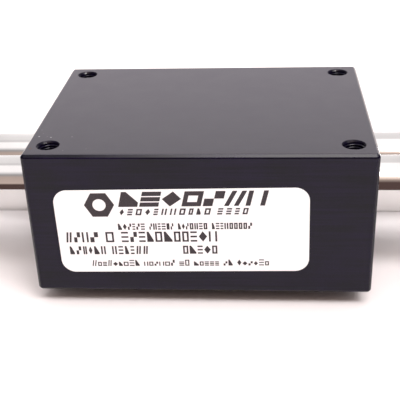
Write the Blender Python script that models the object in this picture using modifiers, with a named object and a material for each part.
"""Twin-shaft linear ball-bushing slide, modelled as its separate bench pieces.

A rectangular bearing block runs along two parallel round shafts, and an end
support holds the shafts at each end. Each bore of the block carries two ball
bushings with a spacer between them, and at each mouth a wiper seal behind an
internal retaining ring. The front shaft lies higher than the rear one, so the
two bores fit side by side in a narrow block.

Frame: X runs along the shafts, -Y is the labelled front, +Z is up. The origin
is on the resting plane, under the middle of the slide.
"""

import math

import bmesh
import bpy
from mathutils import Matrix, Vector

MM = 0.001
INCH = 0.0254

# Clearances between separate pieces
SEAT_GAP = 0.2 * MM         # round a piece that is pressed or screwed home
STACK_GAP = 0.3 * MM        # between pieces stacked along a shaft

# Shafts
SHAFT_RADIUS = 0.25 * INCH
SHAFT_LENGTH = 12.0 * INCH
SHAFT_END_CHAMFER = 0.8 * MM

# Bearing block
BLOCK_SIZE = Vector((73.0, 54.0, 33.0)) * MM
BLOCK_CHAMFER = 0.55 * MM
BLOCK_LIFT = 3.5 * MM       # block underside above the resting plane
BORE_TO_SIDE = 15.2 * MM    # bore axis to the nearer side face
FRONT_BORE_DROP = 13.95 * MM  # front bore's axis below the top
REAR_BORE_RISE = 14.3 * MM  # rear bore's axis above the underside

# Tapped holes in the block's top
TAPPED_HOLE_TO_END = 4.9 * MM   # hole axis to the nearer end of the block
TAPPED_HOLE_TO_SIDE = 5.05 * MM  # and to its nearer side
TAPPED_HOLE_RADIUS = 2.3 * MM
TAPPED_HOLE_MOUTH = 2.47 * MM
TAPPED_HOLE_DEPTH = 5.0 * MM
TAPPED_HOLE_POINT = 0.5 * MM

# Stack of pieces in a bore, from the block's middle to each mouth
BUSHING_RADIUS = 0.4375 * INCH
BUSHING_LENGTH = 1.25 * INCH
SPACER_WIDTH = 1.3 * MM
SEAL_WIDTH = 1.5 * MM
RING_THICKNESS = 1.1 * MM

# Inside a ball bushing
BALL_RADIUS = 1.1 * MM
BALL_CIRCLE = SHAFT_RADIUS + 1.25 * MM
BALL_PITCH = 2.2 * MM
BALL_NECK = 0.4 * MM        # radius where neighbouring balls of a row meet
BELT_ANGLE = math.radians(38)
BALLS_IN_ROW = 8
BALL_ROWS = 4
RETAINER_BORE = SHAFT_RADIUS + 0.4 * MM
RETAINER_RADIUS = 8.65 * MM
SLOT_WIDTH = 2.8 * MM
SLEEVE_BORE = 8.95 * MM

# Seal and retaining ring
SEAL_LIP_RADIUS = SHAFT_RADIUS + 0.2 * MM
SEAL_LIP_WIDTH = 0.6 * MM
SEAL_WEB_RADIUS = 8.2 * MM
GROOVE_RADIUS = 11.8 * MM
RING_INNER = 10.0 * MM
RING_LUG_INNER = 8.1 * MM
RING_GAP_HALF_ANGLE = math.radians(13)
RING_LUG_ANGLE = math.radians(15)
RING_HOLE_RADIUS = 0.6 * MM

# Label on the block's front
LABEL_LENGTH = 53.3 * MM
LABEL_HEIGHT = 19.9 * MM
LABEL_CORNER = 3.0 * MM
LABEL_THICKNESS = 0.12 * MM
LABEL_CENTRE = Vector((-3.8, 0.0, -1.05)) * MM
LABEL_TILT = math.radians(0.85)
LABEL_GAP = 0.1 * MM

# End supports
SUPPORT_SIZE = Vector((19.05, 63.5, 35.0)) * MM
SUPPORT_CHAMFER = 0.6 * MM
FOOT_HOLE_Y = 26.0 * MM
FOOT_HOLE_RADIUS = 2.5 * MM
COUNTERBORE_RADIUS = 4.2 * MM
COUNTERBORE_DEPTH = 5.4 * MM
SET_SCREW_RADIUS = 2.3 * MM
SET_SCREW_HOLE_RADIUS = 2.55 * MM
SET_SCREW_RECESS = 0.8 * MM
SET_SCREW_CHAMFER = 0.5 * MM
HEX_KEY_RADIUS = 1.37 * MM
HEX_DEPTH = 2.4 * MM

# Facets round a full turn
SHAFT_FACETS = 48
BORE_FACETS = 48
SLEEVE_FACETS = 32
INNER_FACETS = 24
HOLE_FACETS = 20
BALL_FACETS = 6

# Places worked out from the sizes above
BORE_Y = BLOCK_SIZE.y / 2 - BORE_TO_SIDE
CARRIAGE_Z = BLOCK_LIFT + BLOCK_SIZE.z / 2
BORE_LINES = {"front": (-BORE_Y, BLOCK_SIZE.z / 2 - FRONT_BORE_DROP),
              "rear": (BORE_Y, REAR_BORE_RISE - BLOCK_SIZE.z / 2)}
BORE_RADIUS = BUSHING_RADIUS + SEAT_GAP
BUSHING_START = SPACER_WIDTH / 2 + STACK_GAP
SEAL_START = BUSHING_START + BUSHING_LENGTH + STACK_GAP
RING_START = SEAL_START + SEAL_WIDTH + STACK_GAP
SUPPORT_X = (SHAFT_LENGTH - SUPPORT_SIZE.x) / 2
ENDS = {"left": -1, "right": 1}
MERGE = 0.00001
OVERRUN = 1.0 * MM          # how far a cutter passes through a face
UPRIGHT = (0.0, 0.0, 0.0)
TURN_TO_X = (0.0, math.pi / 2, 0.0)


def clear_scene():
    for thing in list(bpy.data.objects):
        bpy.data.objects.remove(thing, do_unlink=True)


def new_collection(name):
    collection = bpy.data.collections.new(name)
    bpy.context.scene.collection.children.link(collection)
    return collection


def new_material(name, colour, metallic, roughness):
    material = bpy.data.materials.new(name)
    material.use_nodes = True
    shader = material.node_tree.nodes["Principled BSDF"]
    shader.inputs["Base Color"].default_value = (*colour, 1.0)
    shader.inputs["Metallic"].default_value = metallic
    shader.inputs["Roughness"].default_value = roughness
    material.diffuse_color = (*colour, 1.0)
    return material


clear_scene()
PARTS = new_collection("linear_ball_bushing_slide")
CUTTERS = new_collection("cutters")
BLACK_ANODISED = new_material("black_anodised", (0.05, 0.047, 0.056), 0.6, 0.42)
POLISHED_STEEL = new_material("polished_steel", (0.78, 0.77, 0.76), 1.0, 0.08)
BEARING_STEEL = new_material("bearing_steel", (0.62, 0.62, 0.63), 1.0, 0.22)
LABEL_FILM = new_material("label_film", (0.93, 0.93, 0.93), 0.0, 0.45)
RETAINER_RESIN = new_material("retainer_resin", (0.08, 0.08, 0.09), 0.0, 0.5)
SEAL_RUBBER = new_material("seal_rubber", (0.03, 0.03, 0.03), 0.0, 0.65)
SPRING_STEEL = new_material("spring_steel", (0.2, 0.2, 0.21), 1.0, 0.35)
BLACK_OXIDE = new_material("black_oxide_steel", (0.06, 0.06, 0.06), 0.9, 0.4)


def new_empty(name, location):
    empty = bpy.data.objects.new(name, None)
    empty.location = location
    empty.empty_display_size = 10 * MM
    PARTS.objects.link(empty)
    return empty


RAIL = new_empty("rail", (0.0, 0.0, 0.0))
CARRIAGE = new_empty("carriage", (0.0, 0.0, CARRIAGE_Z))


def place(thing, material, parent, location, rotation=(0.0, 0.0, 0.0)):
    """Link a piece under its parent empty, or a cutter when it has no material."""
    if material is None:
        CUTTERS.objects.link(thing)
        thing.hide_render = True
        thing.display_type = "WIRE"
    else:
        PARTS.objects.link(thing)
        thing.data.materials.append(material)
    thing.parent = parent
    thing.location = location
    thing.rotation_euler = rotation
    return thing


def mesh_object(name, build_shape, material, parent, location):
    """Make an object from a function that fills a bmesh."""
    shape = bmesh.new()
    build_shape(shape)
    mesh = bpy.data.meshes.new(name)
    shape.to_mesh(mesh)
    shape.free()
    return place(bpy.data.objects.new(name, mesh), material, parent, location)


def box_shape(size):
    def build_shape(shape):
        bmesh.ops.create_cube(shape, size=1.0, matrix=Matrix.Diagonal((*size, 1.0)))
    return build_shape


def turned(name, profile, facets, hollow, material, parent, location, rotation=TURN_TO_X):
    """Turn a profile of (radius, height) points, listed down the outer side."""
    mesh = bpy.data.meshes.new(name)
    points = [(radius, 0.0, height) for radius, height in profile]
    edges = [(i, i + 1) for i in range(len(points) - 1)]
    if hollow:
        edges.append((len(points) - 1, 0))
    mesh.from_pydata(points, edges, [])
    thing = place(bpy.data.objects.new(name, mesh), material, parent, location, rotation)
    screw = thing.modifiers.new("turn", "SCREW")
    screw.angle = 2 * math.pi
    screw.steps = facets
    screw.render_steps = facets
    screw.use_merge_vertices = True
    screw.merge_threshold = MERGE
    screw.use_normal_calculate = False
    return thing


def ring_profile(inner, outer, length):
    return [(outer, length / 2), (outer, -length / 2), (inner, -length / 2), (inner, length / 2)]


def rod_profile(radius, length, chamfer=0.0):
    end = length / 2
    if not chamfer:
        return [(0.0, end), (radius, end), (radius, -end), (0.0, -end)]
    return [(0.0, end), (radius - chamfer, end), (radius, end - chamfer),
            (radius, -end + chamfer), (radius - chamfer, -end), (0.0, -end)]


def chamfer_edges(thing, width):
    bevel = thing.modifiers.new("chamfer", "BEVEL")
    bevel.width = width
    bevel.segments = 1
    bevel.limit_method = "ANGLE"


def combine(thing, other, operation="DIFFERENCE"):
    boolean = thing.modifiers.new(other.name, "BOOLEAN")
    boolean.operation = operation
    boolean.solver = "EXACT"
    boolean.object = other


def flat_outline(name, outlines, thickness, material, parent, location, rotation):
    """Extrude a flat outline, whose first loop is the edge and the others are holes."""
    curve = bpy.data.curves.new(name, "CURVE")
    curve.dimensions = "2D"
    curve.fill_mode = "BOTH"
    curve.extrude = thickness / 2
    for outline in outlines:
        spline = curve.splines.new("POLY")
        spline.points.add(len(outline) - 1)
        for point, (x, y) in zip(spline.points, outline):
            point.co = (x, y, 0.0, 1.0)
        spline.use_cyclic_u = True
    return place(bpy.data.objects.new(name, curve), material, parent, location, rotation)


def arc(centre, radius, start, end, steps):
    return [(centre[0] + radius * math.cos(start + (end - start) * i / steps),
             centre[1] + radius * math.sin(start + (end - start) * i / steps))
            for i in range(steps + 1)]


def block_bore_cutter(side):
    """The bore with a groove near each mouth for the retaining ring."""
    end = BLOCK_SIZE.x / 2 + OVERRUN
    outer = RING_START + RING_THICKNESS + SEAT_GAP
    inner = RING_START - SEAT_GAP
    upper_half = [(0.0, end), (BORE_RADIUS, end), (BORE_RADIUS, outer), (GROOVE_RADIUS, outer),
                  (GROOVE_RADIUS, inner), (BORE_RADIUS, inner)]
    profile = upper_half + [(radius, -height) for radius, height in reversed(upper_half)]
    return turned(f"cut_{side}_bore", profile, BORE_FACETS, False, None, CARRIAGE,
                  (0.0, *BORE_LINES[side]))


def tapped_hole_cutter(name, x, y):
    chamfer = TAPPED_HOLE_MOUTH - TAPPED_HOLE_RADIUS
    mouth = TAPPED_HOLE_MOUTH + OVERRUN
    profile = [(0.0, OVERRUN), (mouth, OVERRUN), (TAPPED_HOLE_RADIUS, -chamfer),
               (TAPPED_HOLE_RADIUS, -TAPPED_HOLE_DEPTH),
               (0.0, -TAPPED_HOLE_DEPTH - TAPPED_HOLE_POINT)]
    return turned(name, profile, HOLE_FACETS, False, None, CARRIAGE,
                  (x, y, BLOCK_SIZE.z / 2), UPRIGHT)


def make_block():
    block = mesh_object("carriage_block", box_shape(BLOCK_SIZE), BLACK_ANODISED, CARRIAGE,
                        (0.0, 0.0, 0.0))
    chamfer_edges(block, BLOCK_CHAMFER)
    for side in BORE_LINES:
        combine(block, block_bore_cutter(side))
    for end, end_sign in ENDS.items():
        for side, side_sign in (("front", -1), ("rear", 1)):
            cutter = tapped_hole_cutter(f"cut_{side}_{end}_tapped_hole",
                                        end_sign * (BLOCK_SIZE.x / 2 - TAPPED_HOLE_TO_END),
                                        side_sign * (BLOCK_SIZE.y / 2 - TAPPED_HOLE_TO_SIDE))
            combine(block, cutter)


def make_label():
    steps = 5
    half_x = LABEL_LENGTH / 2 - LABEL_CORNER
    half_y = LABEL_HEIGHT / 2 - LABEL_CORNER
    corners = ((half_x, half_y), (-half_x, half_y), (-half_x, -half_y), (half_x, -half_y))
    outline = []
    for i, corner in enumerate(corners):
        start = i * math.pi / 2
        outline += arc(corner, LABEL_CORNER, start, start + math.pi / 2, steps)
    turn = Matrix.Rotation(LABEL_TILT, 2)
    outline = [tuple(turn @ Vector(point)) for point in outline]
    front = -BLOCK_SIZE.y / 2 - LABEL_GAP - LABEL_THICKNESS / 2
    flat_outline("carriage_label", [outline], LABEL_THICKNESS, LABEL_FILM, CARRIAGE,
                 LABEL_CENTRE + Vector((0.0, front, 0.0)), (math.pi / 2, 0.0, 0.0))


def row_angle(row):
    """Angle of a ball row round the shaft, measured from +Y towards +Z."""
    return math.pi / 4 + row * 2 * math.pi / BALL_ROWS


def ball_slot_cutter(name, length, centre):
    """Two crossed bars, which open the retainer along its four ball rows."""
    reach = 2 * (RETAINER_RADIUS + OVERRUN)

    def build_shape(shape):
        for row in range(BALL_ROWS // 2):
            turn = Matrix.Rotation(row_angle(row), 4, "X")
            bar = turn @ Matrix.Diagonal((length, reach, SLOT_WIDTH, 1.0))
            bmesh.ops.create_cube(shape, size=1.0, matrix=bar)
    return mesh_object(name, build_shape, None, CARRIAGE, centre)


def ball_row_profile():
    """A straight row of balls, joined at small necks so that it is one solid."""
    belt = BALL_RADIUS * math.cos(BELT_ANGLE)
    rise = BALL_RADIUS * math.sin(BELT_ANGLE)
    top = BALLS_IN_ROW * BALL_PITCH / 2
    profile = [(0.0, top)]
    for i in range(BALLS_IN_ROW):
        middle = top - (i + 0.5) * BALL_PITCH
        profile += [(belt, middle + rise), (BALL_RADIUS, middle), (belt, middle - rise),
                    (BALL_NECK, middle - BALL_PITCH / 2)]
    return profile[:-1] + [(0.0, -top)]


def make_bushing(side, end):
    """One ball bushing: outer sleeve, ball retainer and four rows of balls."""
    name = f"{side}_{end}"
    y, z = BORE_LINES[side]
    centre = (ENDS[end] * (BUSHING_START + BUSHING_LENGTH / 2), y, z)
    turned(f"{name}_bushing_sleeve", ring_profile(SLEEVE_BORE, BUSHING_RADIUS, BUSHING_LENGTH),
           SLEEVE_FACETS, True, BEARING_STEEL, CARRIAGE, centre)
    retainer = turned(f"{name}_ball_retainer",
                      ring_profile(RETAINER_BORE, RETAINER_RADIUS, BUSHING_LENGTH),
                      INNER_FACETS, True, RETAINER_RESIN, CARRIAGE, centre)
    slot_length = BALL_PITCH * BALLS_IN_ROW + 2 * STACK_GAP
    combine(retainer, ball_slot_cutter(f"cut_{name}_ball_slots", slot_length, centre))
    for row in range(BALL_ROWS):
        spot = (centre[0], y + BALL_CIRCLE * math.cos(row_angle(row)),
                z + BALL_CIRCLE * math.sin(row_angle(row)))
        turned(f"{name}_ball_row_{row + 1}", ball_row_profile(), BALL_FACETS, False,
               BEARING_STEEL, CARRIAGE, spot)


def make_seal(side, end):
    """A wiper disc whose thin lip stands round the shaft."""
    sign = ENDS[end]
    half = SEAL_WIDTH / 2
    lip_x = half - SEAL_LIP_WIDTH
    profile = [(BUSHING_RADIUS, half), (BUSHING_RADIUS, -half), (SEAL_WEB_RADIUS, -half),
               (SEAL_WEB_RADIUS, lip_x - SEAL_LIP_WIDTH / 2), (SEAL_LIP_RADIUS, lip_x),
               (SEAL_LIP_RADIUS, half)]
    rotation = (0.0, sign * math.pi / 2, 0.0)
    turned(f"{side}_{end}_wiper_seal", profile, INNER_FACETS, True, SEAL_RUBBER, CARRIAGE,
           (sign * (SEAL_START + half), *BORE_LINES[side]), rotation)


def make_retaining_ring(side, end):
    """An internal snap ring, open at one place, with an eye in each lug."""
    outer = GROOVE_RADIUS - SEAT_GAP
    gap = RING_GAP_HALF_ANGLE
    lug = gap + RING_LUG_ANGLE
    full = 2 * math.pi
    origin = (0.0, 0.0)
    lug_steps = 3
    outline = arc(origin, outer, gap, full - gap, INNER_FACETS)
    outline += arc(origin, RING_LUG_INNER, full - gap, full - lug, lug_steps)
    outline += arc(origin, RING_INNER, full - lug, lug, INNER_FACETS)
    outline += arc(origin, RING_LUG_INNER, lug, gap, lug_steps)
    eyes = []
    eye_steps = 8
    for angle in (gap + RING_LUG_ANGLE / 2, -gap - RING_LUG_ANGLE / 2):
        middle = (RING_LUG_INNER + RING_INNER) / 2
        centre = (middle * math.cos(angle), middle * math.sin(angle))
        eyes.append(arc(centre, RING_HOLE_RADIUS, 0.0, full, eye_steps)[:-1])
    flat_outline(f"{side}_{end}_retaining_ring", [outline] + eyes, RING_THICKNESS, SPRING_STEEL,
                 CARRIAGE, (ENDS[end] * (RING_START + RING_THICKNESS / 2), *BORE_LINES[side]),
                 TURN_TO_X)


def make_bore_stack(side):
    """Everything that one bore of the block holds."""
    turned(f"{side}_bushing_spacer",
           ring_profile(RETAINER_BORE + STACK_GAP, BUSHING_RADIUS, SPACER_WIDTH),
           INNER_FACETS, True, RETAINER_RESIN, CARRIAGE, (0.0, *BORE_LINES[side]))
    for end in ENDS:
        make_bushing(side, end)
        make_seal(side, end)
        make_retaining_ring(side, end)


def make_shaft(side):
    y, z = BORE_LINES[side]
    turned(f"{side}_shaft", rod_profile(SHAFT_RADIUS, SHAFT_LENGTH, SHAFT_END_CHAMFER),
           SHAFT_FACETS, False, POLISHED_STEEL, RAIL, (0.0, y, CARRIAGE_Z + z))


def foot_hole_cutter(name, x, y):
    """A clearance hole with a counterbore for a socket-head screw."""
    top = SUPPORT_SIZE.z
    profile = [(0.0, top + OVERRUN), (COUNTERBORE_RADIUS, top + OVERRUN),
               (COUNTERBORE_RADIUS, top - COUNTERBORE_DEPTH),
               (FOOT_HOLE_RADIUS, top - COUNTERBORE_DEPTH),
               (FOOT_HOLE_RADIUS, -OVERRUN), (0.0, -OVERRUN)]
    return turned(name, profile, HOLE_FACETS, False, None, RAIL, (x, y, 0.0), UPRIGHT)


def make_end_support(end):
    x = ENDS[end] * SUPPORT_X
    support = mesh_object(f"{end}_end_support", box_shape(SUPPORT_SIZE), BLACK_ANODISED, RAIL,
                          (x, 0.0, SUPPORT_SIZE.z / 2))
    chamfer_edges(support, SUPPORT_CHAMFER)
    for side, (y, z) in BORE_LINES.items():
        axis_z = CARRIAGE_Z + z
        bore = turned(f"cut_{end}_{side}_support_bore",
                      rod_profile(SHAFT_RADIUS + SEAT_GAP, SUPPORT_SIZE.x + 2 * OVERRUN),
                      SHAFT_FACETS, False, None, RAIL, (x, y, axis_z))
        depth = SUPPORT_SIZE.z + OVERRUN - axis_z
        screw_hole = turned(f"cut_{end}_{side}_screw_hole",
                            rod_profile(SET_SCREW_HOLE_RADIUS, depth), HOLE_FACETS, False,
                            None, RAIL, (x, y, axis_z + depth / 2), UPRIGHT)
        combine(support, bore)
        combine(support, screw_hole)
        make_set_screw(f"{end}_{side}_set_screw", x, y, axis_z + SHAFT_RADIUS + STACK_GAP)
    for side, sign in (("front", -1), ("rear", 1)):
        combine(support, foot_hole_cutter(f"cut_{end}_{side}_foot_hole", x, sign * FOOT_HOLE_Y))


def make_set_screw(name, x, y, low):
    """A screw that clamps a shaft from above, with a hexagon socket in its top."""
    high = SUPPORT_SIZE.z - SET_SCREW_RECESS
    screw = turned(name, rod_profile(SET_SCREW_RADIUS, high - low, SET_SCREW_CHAMFER),
                   HOLE_FACETS, False, BLACK_OXIDE, RAIL, (x, y, (low + high) / 2), UPRIGHT)
    socket = turned(f"cut_{name}_socket", rod_profile(HEX_KEY_RADIUS, 2 * HEX_DEPTH), 6, False,
                    None, RAIL, (x, y, high), UPRIGHT)
    combine(screw, socket)


def shade_round_faces():
    """Bake each mesh piece, so that its round faces are smooth and its edges sharp."""
    graph = bpy.context.evaluated_depsgraph_get()
    meshes = {}
    for piece in PARTS.objects:
        if piece.type == "MESH":
            meshes[piece] = bpy.data.meshes.new_from_object(piece.evaluated_get(graph))
    for piece, mesh in meshes.items():
        piece.modifiers.clear()
        piece.data = mesh
        mesh.name = piece.name
        mesh.shade_smooth()
        mesh.set_sharp_from_angle(angle=math.radians(30))


make_block()
make_label()
for bore_side in BORE_LINES:
    make_bore_stack(bore_side)
    make_shaft(bore_side)
for support_end in ENDS:
    make_end_support(support_end)
shade_round_faces()
